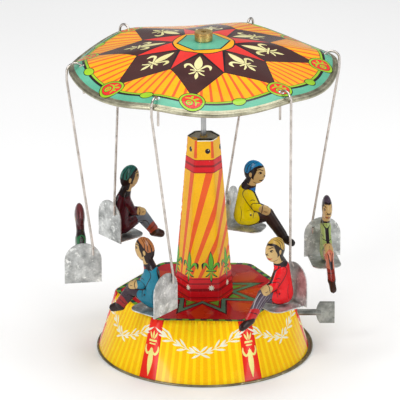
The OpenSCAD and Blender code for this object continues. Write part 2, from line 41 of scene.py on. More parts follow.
# ---------------------------------------------------------------- shape of the tin, as in the CAD, in mm
SHEET = 0.6
BASE_H, BASE_R, CORNER_R, BASE_TURN = 33.0, 51.4, 8.0, -2.0
SKIRT_R, SKIRT_Z, EDGE, HOLE_R = 59.4, 0.85, 0.9, 5.5
FOOT_R, TOP_R, TOWER_CR, TOWER_TURN, TOWER_TOP = 17.0, 9.3, 2.0, 1.5, 126.6
CAP_DEPTH, BUSH_HOLE, OPEN_X, OPEN_Y = 0.5, 2.2, 3.6, 3.2
CANOPY_Z, RIM_R, SCALLOP, HEM_R = 182.9, 73.8, 1.6, 1.3
FALL_A, FALL_B, CROWN_SOFT, RIDGE_SOFT = 0.1032, 0.00107, 6, 0.25
DIP, DIP_POWER, CURL_DROP, CURL_START, CURL_SPAN = 3.2, 1.4, 2.3, 0.9, 0.1
HOOK_TURN, HOOK_R, HOOK_HOLE_R, SPINDLE_HOLE_R = 8.4, 68, 1.6, 1.55
SEAT_R, SEAT_Z, BACK_Y, RIDER_GAP = 69.5, 46.5, 10.0, 0.05
PIVOT = (SEAT_R - 5.5, BACK_Y + SHEET + 0.75)
# Turn of a seat about its wire, and how far a wire's foot leans along the ring, by swing number.
YAW = {5: -16.0}
SWAY = {3: 3.0, 5: -4.0, 6: -1.0}


def rad(a):
    return a * math.pi / 180


def polar(r, a):
    return (r * math.cos(rad(a)), r * math.sin(rad(a)))


def spin(p, angle):
    """A flat point turned about the origin, the angle in radians."""
    c, s = math.cos(angle), math.sin(angle)
    return (p[0] * c - p[1] * s, p[0] * s + p[1] * c)


def between(a):
    """0 on each of the six ridges of the canopy, 1 halfway between two of them."""
    s, e = math.sin(rad(3 * (a - HOOK_TURN))), RIDGE_SOFT
    return (math.sqrt(s * s + e * e) - e) / (math.sqrt(1 + e * e) - e)


def rim_at(a):
    return RIM_R - SCALLOP * between(a)


def canopy_at(r, a):
    """Height of the canopy's upper face."""
    b = between(a)
    curl = max(0.0, (r / (RIM_R - SCALLOP * b) - CURL_START) / CURL_SPAN)
    fall = FALL_A * (math.sqrt(r * r + CROWN_SOFT**2) - CROWN_SOFT) + FALL_B * r * r
    return CANOPY_Z - fall - DIP * (r / HOOK_R) ** DIP_POWER * b - CURL_DROP * curl * curl


def hexagon(a, big, corner):
    """Radius of a hexagon with rounded corners in direction a."""
    c = big - corner / math.cos(rad(30))
    d = a - 60 * round(a / 60)
    side_angle = 30 - abs(d)
    flat = big * math.cos(rad(30)) / math.cos(rad(side_angle))
    if abs(flat * math.sin(rad(side_angle))) < c / 2:
        return flat
    return c * math.cos(rad(d)) + math.sqrt(max(0.0, corner**2 - (c * math.sin(rad(d))) ** 2))


# ---------------------------------------------------------------- flat shapes for the printed artwork
def ccw(p):
    area = sum(p[i - 1][0] * p[i][1] - p[i][0] * p[i - 1][1] for i in range(len(p)))
    return list(p) if area > 0 else list(p)[::-1]


def dense(p, step):
    """The same outline with a point at least every step, so that it can follow a curved sheet."""
    out = []
    for i in range(len(p)):
        a, b = p[i], p[(i + 1) % len(p)]
        n = max(1, math.ceil(math.dist(a, b) / step))
        out += [(a[0] + (b[0] - a[0]) * k / n, a[1] + (b[1] - a[1]) * k / n) for k in range(n)]
    return out


def clip(p, low, high):
    """The part of a shape that lies inside a rectangle."""
    for axis, limit, sign in ((0, low[0], 1), (0, high[0], -1), (1, low[1], 1), (1, high[1], -1)):
        out = []
        for i in range(len(p)):
            a, b = p[i - 1], p[i]
            da, db = sign * (a[axis] - limit), sign * (b[axis] - limit)
            if (da >= 0) != (db >= 0):
                k = da / (da - db)
                out.append((a[0] + (b[0] - a[0]) * k, a[1] + (b[1] - a[1]) * k))
            if db >= 0:
                out.append(b)
        p = out
    return p


def kept(layers, low, high):
    """The layers cut to just inside a rectangle, without those that lie outside it."""
    margin = 0.02
    low, high = (low[0] + margin, low[1] + margin), (high[0] - margin, high[1] - margin)
    cut = [(c, clip(p, low, high)) for c, p in layers]
    return [(c, p) for c, p in cut if len(p) > 2]


def disc(r, n=120):
    return [polar(r, 360 * k / n) for k in range(n)]


def oval(cx, cy, rx, ry=None, n=20, turn=0.0):
    ry = ry or rx
    c, s = math.cos(rad(turn)), math.sin(rad(turn))
    out = []
    for k in range(n):
        x, y = rx * math.cos(2 * math.pi * k / n), ry * math.sin(2 * math.pi * k / n)
        out.append((cx + x * c - y * s, cy + x * s + y * c))
    return out


def leaf(p, q, w, n=6, belly=0.5):
    """A pointed leaf from p to q, w wide, widest at the share belly of its length."""
    dx, dy = q[0] - p[0], q[1] - p[1]
    ln = math.hypot(dx, dy)
    nx, ny = -dy / ln, dx / ln
    ts = [k / n for k in range(1, n)]

    def half(t):
        t = t ** (math.log(0.5) / math.log(belly))
        return w / 2 * math.sin(math.pi * t) ** 0.9

    one = [(p[0] + dx * t + nx * half(t), p[1] + dy * t + ny * half(t)) for t in ts]
    two = [(p[0] + dx * t - nx * half(t), p[1] + dy * t - ny * half(t)) for t in reversed(ts)]
    return [p] + two[::-1] + [q] + one[::-1]


def smooth(pts, n):
    """A Catmull-Rom curve through points of any size, n steps between two of them."""
    out = []
    for i in range(len(pts) - 1):
        p0, p1, p2, p3 = pts[max(0, i - 1)], pts[i], pts[i + 1], pts[min(len(pts) - 1, i + 2)]
        for k in range(n):
            t = k / n
            point = []
            for a, b, c, d in zip(p0, p1, p2, p3):
                curve = (2 * a - 5 * b + 4 * c - d) * t * t + (3 * b - a - 3 * c + d) * t**3
                point.append(0.5 * (2 * b + (c - a) * t + curve))
            out.append(tuple(point))
    return out + [tuple(pts[-1])]


def stroke(pts, n=4):
    """A tapering stroke through points (x, y, width)."""
    line = smooth(pts, n)
    one, two = [], []
    for i, (x, y, w) in enumerate(line):
        a, b = line[max(0, i - 1)], line[min(len(line) - 1, i + 1)]
        ln = math.hypot(b[0] - a[0], b[1] - a[1]) or 1
        nx, ny = -(b[1] - a[1]) / ln, (b[0] - a[0]) / ln
        one.append((x + nx * w / 2, y + ny * w / 2))
        two.append((x - nx * w / 2, y - ny * w / 2))
    return one + two[::-1]


def place(p, at, size=1.0, turn=0.0):
    c, s = math.cos(rad(turn)) * size, math.sin(rad(turn)) * size
    return [(at[0] + x * c - y * s, at[1] + x * s + y * c) for x, y in p]


def fleur():
    """A lily flower, one unit tall, its tip at +Y."""
    petal = (
        (0.03, -0.04, 0.03), (0.12, 0.08, 0.05), (0.2, 0.17, 0.075), (0.28, 0.13, 0.08), (0.29, 0.0, 0.02),
    )
    root = ((0.03, -0.1, 0.03), (0.09, -0.18, 0.05), (0.18, -0.24, 0.03))
    parts = [leaf((0, -0.03), (0, 0.57), 0.19, 8, 0.42)]
    for s in (-1, 1):
        for shape in (petal, root):
            parts.append(stroke([(s * x, y, w) for x, y, w in shape]))
    parts.append([(-0.16, -0.08), (0.16, -0.08), (0.16, -0.035), (-0.16, -0.035)])
    parts.append(leaf((0, -0.09), (0, -0.43), 0.085, 6, 0.6))
    return parts


def star(n, big, small, turn=0.0):
    out = []
    for k in range(2 * n):
        r, a = big if k % 2 == 0 else small, rad(turn + 180 * k / n)
        out.append((r * math.cos(a), r * math.sin(a)))
    return out


def capsule(p, r1, q, r2, n=10):
    """The outline of two discs and the strip between them."""
    d = math.dist(p, q)
    t = math.atan2(q[1] - p[1], q[0] - p[0])
    k = math.acos(max(-1, min(1, (r1 - r2) / d)))
    out = []
    for c, r, a0, a1 in ((q, r2, t - k, t + k), (p, r1, t + k, t - k + 2 * math.pi)):
        for i in range(n + 1):
            a = a0 + (a1 - a0) * i / n
            out.append((c[0] + r * math.cos(a), c[1] + r * math.sin(a)))
    return out


# ---------------------------------------------------------------- materials, noise scales per metre
INK = {}
INK_ROUGH, INK_COAT, INK_COAT_ROUGH, INK_SPECULAR = 0.2, 0.2, 0.1, 0.15
INK_SCREEN, INK_WEAR, INK_TONE, SHEET_WAVES, METAL_LINES = 1500, 420, 90, 45, 900
WORN_TIN = (0.42, 0.40, 0.36)


def nodes_of(name):
    mat = bpy.data.materials.new(name)
    mat.use_nodes = True
    nt = mat.node_tree
    return mat, nt, nt.nodes["Principled BSDF"]


def add(nt, kind, **values):
    n = nt.nodes.new(kind)
    for key, v in values.items():
        if key in n.bl_rna.properties:
            setattr(n, key, v)
        else:
            n.inputs[key.replace("_", " ")].default_value = v
    return n


def grey(v):
    return (v, v, v)


def ramp(nt, fac, *stops):
    r = add(nt, "ShaderNodeValToRGB")
    el = r.color_ramp.elements
    while len(el) < len(stops):
        el.new(0.5)
    for e, (pos, col) in zip(el, stops):
        e.position = pos
        e.color = (*col, 1)
    nt.links.new(fac, r.inputs["Fac"])
    return r.outputs["Color"]


def mix(nt, fac, a, b, blend="MIX"):
    m = add(nt, "ShaderNodeMix", data_type="RGBA", blend_type=blend)
    for sock, v in ((0, fac), (6, a), (7, b)):
        if hasattr(v, "links"):
            nt.links.new(v, m.inputs[sock])
        else:
            m.inputs[sock].default_value = v if sock == 0 else (*v, 1)
    return m.outputs[2]


def grain(nt, scale, detail=3.0, stretch=(1, 1, 1), rough=0.5):
    tc = add(nt, "ShaderNodeTexCoord")
    mp = add(nt, "ShaderNodeMapping")
    mp.inputs["Scale"].default_value = stretch
    n = add(nt, "ShaderNodeTexNoise", Scale=scale, Detail=detail, Roughness=rough)
    nt.links.new(tc.outputs["Object"], mp.inputs["Vector"])
    nt.links.new(mp.outputs["Vector"], n.inputs["Vector"])
    return n.outputs["Fac"]


def bumped(nt, bsdf, *layers):
    """Bump of several layers (height, strength, distance), one on the other."""
    last = None
    for height, strength, dist in layers:
        b = add(nt, "ShaderNodeBump", Strength=strength, Distance=dist)
        nt.links.new(height, b.inputs["Height"])
        if last:
            nt.links.new(last, b.inputs["Normal"])
        last = b.outputs["Normal"]
    nt.links.new(last, bsdf.inputs["Normal"])


def srgb(h):
    v = [int(h[i : i + 2], 16) / 255 for i in (0, 2, 4)]
    return tuple(x / 12.92 if x <= 0.04045 else ((x + 0.055) / 1.055) ** 2.4 for x in v)


def ink(name, colour, second=None, scale=60):
    """Printed and varnished tin: ink mottle, fine screen grain, pin-prick wear down to the metal."""
    if name in INK:
        return INK[name]
    mat, nt, p = nodes_of("ink_" + name)
    a = srgb(colour)
    b = srgb(second) if second else tuple(0.80 * x for x in a)
    broad = ramp(nt, grain(nt, scale, 3), (0.35, grey(0)), (0.7, grey(1)))
    col = mix(nt, broad, a, b)
    fine = grain(nt, INK_SCREEN, 2)
    col = mix(nt, 0.10, col, ramp(nt, fine, (0.35, grey(0.25)), (0.65, grey(1))), "MULTIPLY")
    worn = ramp(nt, grain(nt, INK_WEAR, 4, rough=0.65), (0.735, grey(0)), (0.765, grey(1)))
    col = mix(nt, worn, col, WORN_TIN)
    nt.links.new(col, p.inputs["Base Color"])
    dull = ramp(nt, grain(nt, INK_TONE, 4), (0.3, grey(INK_ROUGH * 0.8)), (0.75, grey(INK_ROUGH * 1.7)))
    nt.links.new(dull, p.inputs["Roughness"])
    p.inputs["Coat Weight"].default_value = INK_COAT
    p.inputs["Coat Roughness"].default_value = INK_COAT_ROUGH
    p.inputs["Specular IOR Level"].default_value = INK_SPECULAR
    bumped(nt, p, (grain(nt, SHEET_WAVES, 2), 0.22, 0.0006), (fine, 0.05, 0.0001))
    INK[name] = mat
    return mat


def metal(
    name, dark, light, rough=(0.25, 0.45), scale=120, stretch=(1, 1, 1), bump=0.15, spots=None, metallic=1.0
):
    """Bare or plated metal with uneven tone, grain along the drawing direction and dull patches."""
    mat, nt, p = nodes_of("metal_" + name)
    broad = grain(nt, scale, 5, rough=0.6)
    lines = grain(nt, METAL_LINES, 2, stretch)
    col = ramp(nt, broad, (0.32, srgb(dark)), (0.68, srgb(light)))
    col = mix(nt, 0.35, col, ramp(nt, lines, (0.3, grey(0.45)), (0.7, grey(1))), "MULTIPLY")
    if spots:
        patch = ramp(nt, grain(nt, scale * 2.6, 5, rough=0.7), (0.56, grey(0)), (0.66, grey(1)))
        col = mix(nt, patch, col, srgb(spots))
    nt.links.new(col, p.inputs["Base Color"])
    nt.links.new(ramp(nt, broad, (0.3, grey(rough[0])), (0.75, grey(rough[1]))), p.inputs["Roughness"])
    p.inputs["Metallic"].default_value = metallic
    bumped(nt, p, (broad, bump, 0.0005), (lines, bump * 0.6, 0.0001))
    return mat


M_STEEL = metal("steel", "8C8E90", "C4C4C2", stretch=(1, 1, 0.05))
M_WIRE = metal("wire", "B2AAA2", "E0D8D0", (0.22, 0.38), 200, (1, 1, 0.08), 0.1)
M_SPRING = metal("blued_spring", "2C3444", "58627A", (0.2, 0.35), 150)
M_BRASS = metal("brass", "C09C5C", "F0D28C", (0.36, 0.52), 160, (0.1, 0.1, 1), 0.12)
M_RIM = metal("rim_brass", "96927A", "CECAB0", (0.36, 0.52), 150, (1, 1, 0.2), 0.25, "ACA88E")
M_SEAT = metal("dipped_tin", "8A8C8A", "ECEEEC", (0.34, 0.6), 130, bump=0.5, spots="F2F3F0", metallic=0.8)
M_KEY = metal("key_nickel", "787A76", "B4B6B0", (0.3, 0.5), 170, bump=0.3, spots="7C7E78")
M_PLATE = metal("bottom_lacquer", "5A503C", "A09878", (0.3, 0.5), 60, bump=0.2, spots="BCB494", metallic=0.75)
M_CAP = metal("cap_tin", "A09684", "D6CEBC", (0.4, 0.6), 90, bump=0.2, spots="8E8676", metallic=0.35)
M_UNDER = metal("plain_tin", "8E8F88", "B9B9AF", (0.3, 0.45), 40, bump=0.2)
PRINT_BLACK = ink("black", "241A20")


# ---------------------------------------------------------------- meshes
def finish_piece(name, verts, faces, mats, index, body, replaces, normals):
    """Makes the mesh of a piece, from millimetres, with its materials, and ties it to its body and replaced
    nodes.
    """
    me = bpy.data.meshes.new(name)
    me.from_pydata([Vector(v) * MM for v in verts], [], faces)
    for m in mats:
        me.materials.append(m)
    me.polygons.foreach_set("material_index", index)
    me.polygons.foreach_set("use_smooth", [True] * len(faces))
    me.update()
    me.normals_split_custom_set_from_vertices([Vector(n).normalized() for n in normals])
    ob = bpy.data.objects.new(name, me)
    bpy.context.scene.collection.objects.link(ob)
    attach(ob, body)
    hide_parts(*replaces)


def cut_flat(shapes, extra):
    """Cuts the plane along (layer, outline) shapes. Returns points, and faces with the shapes they lie in."""
    pts, polys, owner = [], [], []
    for layer, poly in shapes:
        base = len(pts)
        pts += ccw(poly)
        polys.append(list(range(base, len(pts))))
        owner.append(layer)
    pts += list(extra)
    out = delaunay_2d_cdt([Vector(p) for p in pts], [], polys, 1, 1e-4, True)
    faces = [(face, ids) for face, ids in zip(out[2], out[5]) if len(face) == 3]
    return [tuple(v) for v in out[0]], faces, owner


def printed(layers, extra, domain, holes=()):
    """Cuts a flat domain along every printed shape. A shape lies over the ones before it.

    Returns the points and (triangle, layer) pairs.
    """
    shapes = [(0, domain)] + list(layers) + [(-1, h) for h in holes]
    points, faces, owner = cut_flat(shapes, extra)
    return points, [(face, owner[max(ids)]) for face, ids in faces if 0 in ids and owner[max(ids)] >= 0]


def surface_parts(points, tris, where, thick, under):
    """Lifts a flat print onto a surface and gives it a back, so that it is a closed sheet."""
    e = 1e-3
    used = sorted({i for t, _ in tris for i in t})
    new = {o: k for k, o in enumerate(used)}
    top, nor = [], []
    for i in used:
        u, v = points[i]
        along_u = Vector(where(u + e, v)) - Vector(where(u - e, v))
        along_v = Vector(where(u, v + e)) - Vector(where(u, v - e))
        n = along_u.cross(along_v)
        top.append(Vector(where(u, v)))
        nor.append(n.normalized() if n.length > 1e-12 else Vector((0, 0, 1)))
    m = len(top)
    verts = top + [p - n * thick for p, n in zip(top, nor)]
    normals = nor + [-n for n in nor]
    faces, index, edges = [], [], {}
    for t, layer in tris:
        f = [new[i] for i in t]
        faces.append(f)
        index.append(layer)
        faces.append([k + m for k in reversed(f)])
        index.append(under)
        for a, b in zip(f, f[1:] + f[:1]):
            edges[(a, b)] = edges.get((a, b), 0) + 1
    for a, b in edges:
        if (b, a) not in edges:
            faces.append([b, a, a + m, b + m])
            index.append(under)
    return verts, faces, index, normals


# ---------------------------------------------------------------- canopy
K_MATS = [
    M_RIM,
    PRINT_BLACK,
    ink("lime", "A2D22C", "8ABA24"),
    ink("yellow", "FFB614", "F6A60C"),
    ink("stripe", "F4642C", "EA5626"),
    ink("red", "F23A30", "DC2C28"),
    ink("brown", "4C2A28", "3E2221"),
    ink("cream", "F0E8AC", "E0D890"),
    ink("teal", "68BA9C", "58A88A"),
    M_UNDER,
]
BLACK, LIME, YELLOW, STRIPE, RED, BROWN, CREAM, TEAL, UNDER = range(1, 10)
KITES, KITE_TURN, KITE_STEP = 8, -95.5, 45
BARE_EDGE, RING_R, FIELD_R = 1.9, 67.3, 64.4
RAYS, RAY_SPACE, RAY_IN, RAY_OUT = 8, 5.2, 37, 64.3
MEDAL_R, BUD_R = 64.9, 65.9
# Colour, radius of the inner tip, of the outer tip and of the side corners, and the turn of those.
KITE_SHAPES = ((BLACK, 17.92, 62.05, 38.51, 22.63), (BROWN, 18.8, 61.5, 38.4, 21.6))
VINE = ((-3.9, 1.9, 0.5), (-1.6, 2.2, 0.9), (0.9, 1.0, 0.9), (2.2, -1.1, 0.9), (2.3, -3.3, 0.5))
VINE_LEAVES = (((-0.6, 2.2), (0.4, 4.6), 1.3), ((1.1, 1.2), (3.9, 2.6), 1.5), ((2.3, -0.9), (4.4, -0.6), 1.1))


def medallion(a):
    """A red medallion with a vine, and the bud halfway to the next one."""
    at = polar(MEDAL_R, a)
    out = []
    for col, grow in ((BLACK, 0.45), (LIME, 0.0), (BLACK, -1.15), (RED, -1.4)):
        out.append((col, oval(*at, 6.5 + grow, 6.9 + grow, 28, a)))
    for part in [stroke(VINE)] + [leaf(*shape) for shape in VINE_LEAVES]:
        out.append((LIME, place(part, at, 1.0, a + 90)))
    for col, r in ((BLACK, 2.25), (LIME, 2.0), (RED, 1.2), (LIME, 0.6)):
        out.append((col, place(oval(-1.4, -1.5, r), at, 1.0, a + 90)))
    half = a + KITE_STEP / 2
    for col, grow in ((BLACK, 0.45), (LIME, 0.0)):
        out.append((col, oval(*polar(BUD_R, half), 2.5 + grow, 3.7 + grow, 20, half)))
    return out


def canopy_art():
    kites = [KITE_TURN + KITE_STEP * k for k in range(KITES)]
    out = [(TEAL, [polar(rim_at(a / 2) - BARE_EDGE, a / 2) for a in range(720)])]
    out += [(BLACK, disc(RING_R)), (LIME, disc(65.9)), (BLACK, disc(64.7)), (YELLOW, disc(FIELD_R))]
    for kite in kites:
        for j in range(RAYS):
            a = kite + KITE_STEP / 2 + RAY_SPACE * (j - (RAYS - 1) / 2)
            inner = [polar(RAY_IN, a - 0.85), polar(RAY_IN, a + 0.85)]
            outer = [polar(RAY_OUT, a - 0.72), polar(RAY_OUT, a + 0.72)]
            out.append((STRIPE, dense([inner[0], outer[0], outer[1], inner[1]], 4)))
    spikes = [polar(39.3 if k % 2 else 20, KITE_TURN + KITE_STEP / 2 * k) for k in range(2 * KITES)]
    out.append((BLACK, dense(spikes, 3)))
    for a in kites:
        out.append((RED, dense([polar(16, a), polar(16, a + KITE_STEP), polar(38.3, a + KITE_STEP / 2)], 3)))
    for a in kites:
        for col, tip_in, tip_out, side_r, half in KITE_SHAPES:
            kite = [polar(tip_in, a), polar(side_r, a - half), polar(tip_out, a), polar(side_r, a + half)]
            out.append((col, dense(kite, 3)))
        for part in fleur():
            out.append((CREAM, place(part, polar(34.5, a), 24, a + 90)))
    out += [(BLACK, disc(17.6)), (YELLOW, disc(16.8))]
    for col, r in ((BLACK, 15.3), (TEAL, 14.3)):
        out.append((col, dense([polar(r, 9 + 60 * k) for k in range(6)], 3)))
    for a in kites:
        out += medallion(a)
    return out


def on_canopy(x, y):
    return (x, y, canopy_at(math.hypot(x, y), math.degrees(math.atan2(y, x))))


def canopy_print():
    edge = [polar(rim_at(a / 2) - HEM_R * 0.6, a / 2) for a in range(720)]
    inside = []
    for r in range(4, 76, 2):
        inside += [polar(r, a) for a in range(0, 360, 3) if r < rim_at(a) - HEM_R - 0.8]
    bores = [disc(SPINDLE_HOLE_R, 32)]
    bores += [oval(*polar(HOOK_R, HOOK_TURN + 60 * k), HOOK_HOLE_R, HOOK_HOLE_R, 16) for k in range(6)]
    points, tris = printed(canopy_art(), inside, edge, bores)
    verts, faces, index, normals = surface_parts(points, tris, on_canopy, SHEET * 0.9, UNDER)
    finish_piece(
        "canopy_print", verts, faces, K_MATS, index, "canopy", ["canopy_shell"], normals
    )


def canopy_rim():
    """The rolled edge: a ring of round section that follows the rim up and down."""
    n, m = 240, 16
    verts, faces, normals = [], [], []
    for i in range(n):
        a = 360 * i / n
        r = rim_at(a)
        j = (i + 1) % n
        for k in range(m):
            b = 2 * math.pi * k / m
            x, y = polar(r + HEM_R * math.cos(b), a)
            verts.append((x, y, canopy_at(r, a) - SHEET / 2 + HEM_R * math.sin(b)))
            normals.append((*polar(math.cos(b), a), math.sin(b)))
            after = (k + 1) % m
            faces.append([i * m + k, j * m + k, j * m + after, i * m + after])
    index = [0] * len(faces)
    finish_piece("canopy_rim", verts, faces, [M_RIM], index, "canopy", ["canopy_hem"], normals)


canopy_print()
canopy_rim()

# ---------------------------------------------------------------- base
B_MATS = [
    ink("skirt_gold", "FBC004", "F6B602"),
    ink("skirt_yellow", "FFDA12", "FDD00A"),
    ink("skirt_red", "EE2C1C", "DA2216"),
    ink("skirt_cream", "F0E888", "E4DA74"),
    ink("skirt_white", "F4F2DC", "E6E4C8"),
    PRINT_BLACK,
    ink("top_crimson", "DC0C1C", "A80C18", 22),
    ink("top_orange", "E84A18", "CC2216", 22),
    ink("star_green", "4A947A", "3F8069"),
    ink("edge_lime", "6FB83A", "5EA430"),
    ink("edge_teal", "1F4A48", "183C3A"),
    M_UNDER,
]
B_STRIPE, B_PILLAR, B_SCROLL, B_WREATH, B_BLACK = range(1, 6)
B_CRIMSON, B_ORANGE, B_STAR, B_LIME, B_TEAL, B_UNDER = range(6, 12)
# The skirt's print is drawn unrolled, in millimetres. Its seam is at the back.
FLAT = 55 * math.pi / 180
TALL = BASE_H - SKIRT_Z
SEAM, STRIPES, STRIPE_W, EDGE_MARKS = 90.0, 84, 1.8, 84
WREATH_CLUSTER = ((0.0, 0.5, 6.6), (0.0, -0.42, 7.2), (0.13, 0.26, 5.8), (0.13, -0.24, 5.4))
SCROLL = ((3.9, 19.0, 0.4), (4.0, 16.6, 1.2), (2.6, 14.6, 1.3), (1.0, 15.6, 0.9), (0.6, 17.6, 0.4))


def on_skirt(u, w):
    """u is the direction in degrees times FLAT, w the height over the lower edge; a rounded edge ends it."""
    a = u / FLAT
    s = w / TALL
    cut = 1 - EDGE / TALL
    if s <= cut:
        k = 1 - s / cut
        r = hexagon(a, BASE_R, CORNER_R) * (1 - k) + SKIRT_R * k
        z = SKIRT_Z + (BASE_H - EDGE - SKIRT_Z) * (s / cut)
    else:
        e = (s - cut) / (1 - cut) * math.pi / 2
        r = hexagon(a, BASE_R, CORNER_R) - EDGE * (1 - math.cos(e))
        z = BASE_H - EDGE + EDGE * math.sin(e)
    return (*polar(r, a + BASE_TURN), z)


def side(a, z):
    """Print coordinates of a direction in degrees and a height."""
    return (a * FLAT, z - SKIRT_Z)


def pillar_art(corner):
    """The ornament on the red pilaster at one corner of the skirt."""

    def up(pts):
        return [(side(corner, 0)[0] + x, y - SKIRT_Z) for x, y in pts]

    out = []
    for s in (-1, 0, 1):
        out.append((B_SCROLL, up(leaf((s * 0.6, 22.6), (s * 2.5, 27.4 - abs(s) * 0.8), 1.1))))
    out.append((B_SCROLL, up([(-2.6, 21.2), (2.6, 21.2), (2.4, 22.3), (-2.4, 22.3)])))
    out.append((B_SCROLL, up([(-1.9, 19.7), (1.9, 19.7), (2.0, 20.4), (-2.0, 20.4)])))
    for s in (-1, 1):
        out.append((B_SCROLL, up(stroke([(s * x, y, w) for x, y, w in SCROLL]))))
    out.append((B_SCROLL, up(leaf((0, 18.4), (0, 2.4), 3.2, 8, 0.42))))
    for s in (-1, 1):
        out.append((B_WREATH, up(leaf((s * 6.8, 25.2), (s * 0.2, 29.2), 1.1, 6, 0.45))))
        out.append((B_WREATH, up(leaf((s * 8.6, 26.6), (s * 4.2, 29.4), 0.9, 6, 0.45))))
    return out


def wreath_art(corner):
    """The two halves of the laurel wreath that hangs on one side of the skirt."""
    out = []
    for s in (-1, 1):

        def chain(t):
            return side(corner + 30 + s * 27 * t, 16.6 + 10.6 * max(0, t) ** 1.35 - 1.6 * min(0, t))

        for j in range(3):
            for start, turn, size in WREATH_CLUSTER:
                p, q = chain(start - 0.04 + 0.345 * j), chain(start + 0.1 + 0.345 * j)
                d = math.atan2(q[1] - p[1], q[0] - p[0])
                tip = (p[0] + size * math.cos(d + turn), p[1] + size * math.sin(d + turn))
                out.append((B_WREATH, leaf(p, tip, 1.15, 6, 0.62)))
        stem = [(*chain(-0.1 + 0.1 * j), 0.45 - 0.02 * j) for j in range(11)]
        out.append((B_WREATH, stroke(stem, 2)))
    return out


def skirt_art():
    out = []
    for k in range(STRIPES):
        a, b = SEAM + 360 * k / STRIPES, SEAM + 360 * k / STRIPES + STRIPE_W
        foot, head = [side(a, SKIRT_Z), side(b, SKIRT_Z)], [side(b, BASE_H), side(a, BASE_H)]
        out.append((B_STRIPE, dense(foot + head, 3)))
    corners = [SEAM - 30 + 60 * k for k in range(8)]
    for corner in corners:
        foot = [side(corner - 5.2, SKIRT_Z), side(corner + 5.2, SKIRT_Z)]
        head = [side(corner + 4.9, BASE_H), side(corner - 4.9, BASE_H)]
        out.append((B_PILLAR, dense(foot + head, 3)))
    for corner in corners:
        out += pillar_art(corner)
    for corner in corners:
        out += wreath_art(corner)
    return out


def top_edge(r_in, steps=360):
    """The outline of the base's top, r_in inside its edge."""
    out = []
    for k in range(steps):
        a = 360 * k / steps
        out.append(polar(hexagon(a, BASE_R, CORNER_R) - r_in, a))
    return out


def along_edge(r_in, count):
    """Directions of evenly spaced points round the top edge."""
    steps = 1440
    ring = top_edge(r_in, steps)
    total, at = 0.0, [0.0]
    for i in range(steps):
        total += math.dist(ring[i], ring[(i + 1) % steps])
        at.append(total)
    out, i = [], 0
    for k in range(count):
        while at[i + 1] < total * k / count:
            i += 1
        out.append(math.degrees(math.atan2(ring[i][1], ring[i][0])))
    return out


def top_art():
    out = [(B_TEAL, top_edge(1.0))]
    marks = along_edge(1.0, EDGE_MARKS)
    for k in range(0, EDGE_MARKS, 2):
        a, b = marks[k], marks[k + 1]
        b = b + 360 if b < a else b
        turns = [a + (b - a) * t / 4 for t in range(5)]
        ring = [polar(hexagon(t, BASE_R, CORNER_R) - 1.05, t) for t in turns]
        back = [polar(hexagon(t, BASE_R, CORNER_R) - 3.5, t) for t in reversed(turns)]
        out.append((B_LIME, ring + back))
    out += [(B_BLACK, top_edge(3.4)), (B_CRIMSON, top_edge(3.7))]
    for k in range(8):
        a = 45 * k
        ray = [polar(20, a), polar(33, a + 12), polar(40, a + 5), polar(40, a - 5), polar(33, a - 12)]
        out.append((B_ORANGE, dense(ray, 3)))
    stars = ((B_BLACK, 37.2, 19.2), (B_STAR, 34.6, 18.0), (B_BLACK, 28.0, 15.0), (B_CRIMSON, 26.4, 14.2))
    for col, big, small in stars:
        out.append((col, dense(star(8, big, small, turn=22.5), 2)))
    for k in range(8):
        a = 22.5 + 45 * k
        out.append((B_BLACK, [polar(24.6, a), polar(16.5, a - 13), polar(16.5, a + 13)]))
        out.append((B_LIME, [polar(23.4, a), polar(17.0, a - 10), polar(17.0, a + 10)]))
    return out


def on_top(x, y):
    return (*spin((x, y), rad(BASE_TURN)), BASE_H)


def base_print():
    low, high = side(SEAM, SKIRT_Z), side(SEAM + 360, BASE_H)
    domain = dense([low, (high[0], low[1]), high, (low[0], high[1])], 1.0)
    rows = (3, 7, 11, 15, 19, 23, 27, 30, 31.4, 31.7, 31.95)
    extra = [side(SEAM + a, SKIRT_Z + z) for a in range(2, 360, 2) for z in rows]
    points, tris = printed(kept(skirt_art(), low, high), extra, domain)
    v1, f1, ix1, no1 = surface_parts(points, tris, on_skirt, SHEET, B_UNDER)
    extra = [polar(r, a) for r in range(9, 42, 4) for a in range(0, 360, 6)]
    points, tris = printed(top_art(), extra, top_edge(EDGE), [disc(HOLE_R, 48)])
    v2, f2, ix2, no2 = surface_parts(points, tris, on_top, SHEET, B_UNDER)
    faces = f1 + [[i + len(v1) for i in face] for face in f2]
    finish_piece(
        "base_print", v1 + v2, faces, B_MATS, ix1 + ix2, "base", ["base_skirt"], no1 + no2
    )


base_print()

# ---------------------------------------------------------------- tower
T_MATS = [
    ink("tower_gold", "FABE10", "F0AE0C"),
    ink("tower_orange", "F06226", "E4561E"),
    ink("tower_red", "E01420", "C80F1A"),
    ink("tower_green", "64BA38", "52A62C"),
    PRINT_BLACK,
    INK["skirt_white"],
    ink("tower_maroon", "960E16", "860C12"),
    M_UNDER,
]
T_ORANGE, T_RED, T_GREEN, T_BLACK, T_WHITE, T_MAROON, T_UNDER = range(1, 8)
FL = 0.25
# The orange rays fan out from one point of the flat tower sheet, before it is rolled up.
RAY_X, RAY_Y, RAY_STEP, RAY_FOOT, RAY_HEAD = -25.5, -36.0, 5.2, 46.4, 107.8
APEX = math.hypot(TOWER_TOP - BASE_H, (FOOT_R - TOP_R) * math.cos(rad(30))) * FOOT_R / (FOOT_R - TOP_R)
BANDS = (
    (T_RED, 107.6, 115.4), (T_MAROON, 111.0, 112.2), (T_MAROON, 107.6, 108.1), (T_MAROON, 115.0, 115.4),
    (T_RED, 33.05, 46.6), (T_MAROON, 45.5, 45.9), (T_MAROON, 42.6, 43.4), (T_MAROON, 38.6, 40.2),
    (T_MAROON, 34.6, 35.2),
)
FLEURS, FLEUR_Z, STAR_Z = 7, 51.6, 40.6
DOTS, DOT_R, DOT_Z = 5, 1.5, 120.3


